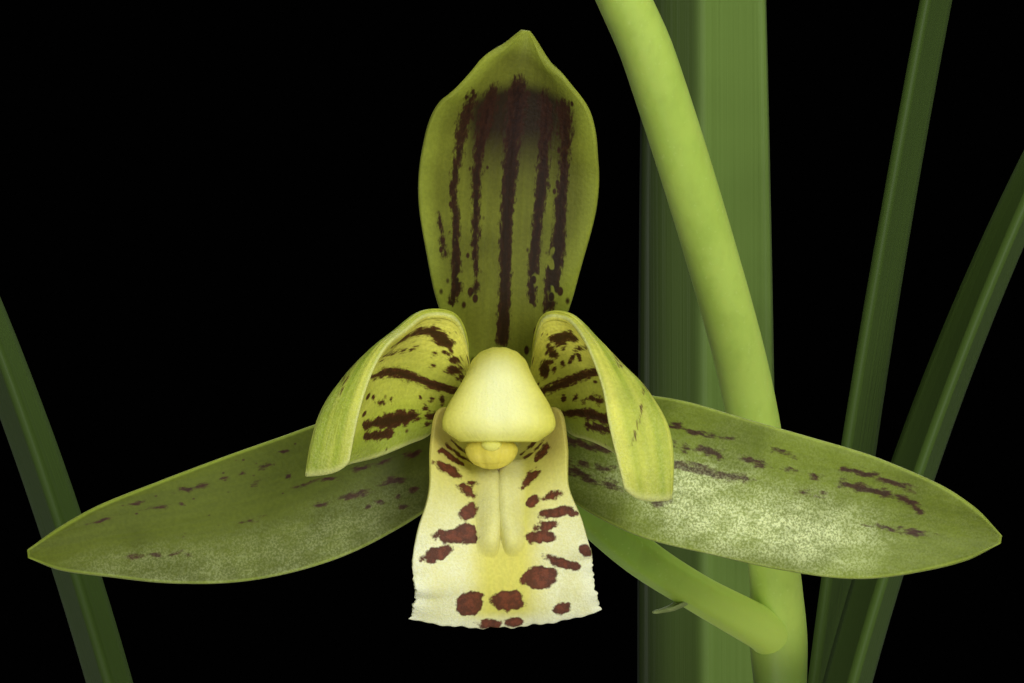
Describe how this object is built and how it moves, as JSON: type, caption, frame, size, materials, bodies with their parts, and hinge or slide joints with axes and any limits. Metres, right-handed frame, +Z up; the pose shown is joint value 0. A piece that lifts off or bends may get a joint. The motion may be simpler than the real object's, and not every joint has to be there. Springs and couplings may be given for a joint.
{
  "type": "potted cymbidium haematodes",
  "caption": "Potted cymbidium orchid in a plain clay pot: strap leaves, pseudobulbs in bark and one flower stem with striped green blooms and a spotted lip.",
  "frame": {"origin": "middle of the pot's flat base", "axes": "+Z up along the pot and plant; the nearest bloom faces -Y"},
  "size_m": [0.4965, 0.3003, 0.6076],
  "materials": {
    "clay": "matte",
    "bark": "matte",
    "bulb": "satin",
    "leaf": "satin",
    "stem": "satin",
    "sepal": "satin",
    "petal": "satin",
    "lip": "satin",
    "column": "satin",
    "anther": "satin",
    "bud": "satin"
  },
  "bodies": {
    "root": {"clay_pot": "clay", "bark_mix": "bark", "pseudobulb_1": "bulb", "pseudobulb_2": "bulb", "pseudobulb_3": "bulb", "pseudobulb_4": "bulb", "pseudobulb_5": "bulb", "leaf_1": "leaf", "leaf_2": "leaf", "leaf_3": "leaf", "leaf_4": "leaf", "leaf_5": "leaf", "leaf_6": "leaf", "leaf_7": "leaf", "leaf_8": "leaf", "leaf_9": "leaf", "leaf_10": "leaf", "leaf_11": "leaf", "leaf_12": "leaf", "leaf_13": "leaf", "flower_stem": "stem", "bloom1_ovary": "stem", "bloom1_sepal_dorsal": "sepal", "bloom1_sepal_left": "sepal", "bloom1_sepal_right": "sepal", "bloom1_petal_left": "petal", "bloom1_petal_right": "petal", "bloom1_lip": "lip", "bloom1_column": "column", "bloom1_anther_cap": "anther", "bloom2_tepals": "sepal", "bloom2_lip": "lip", "bloom2_column": "column", "bloom3_tepals": "sepal", "bloom3_lip": "lip", "bloom3_column": "column", "bud_1": "bud", "bud_2": "bud", "bud_3": "bud"}
  },
  "joints": []
}
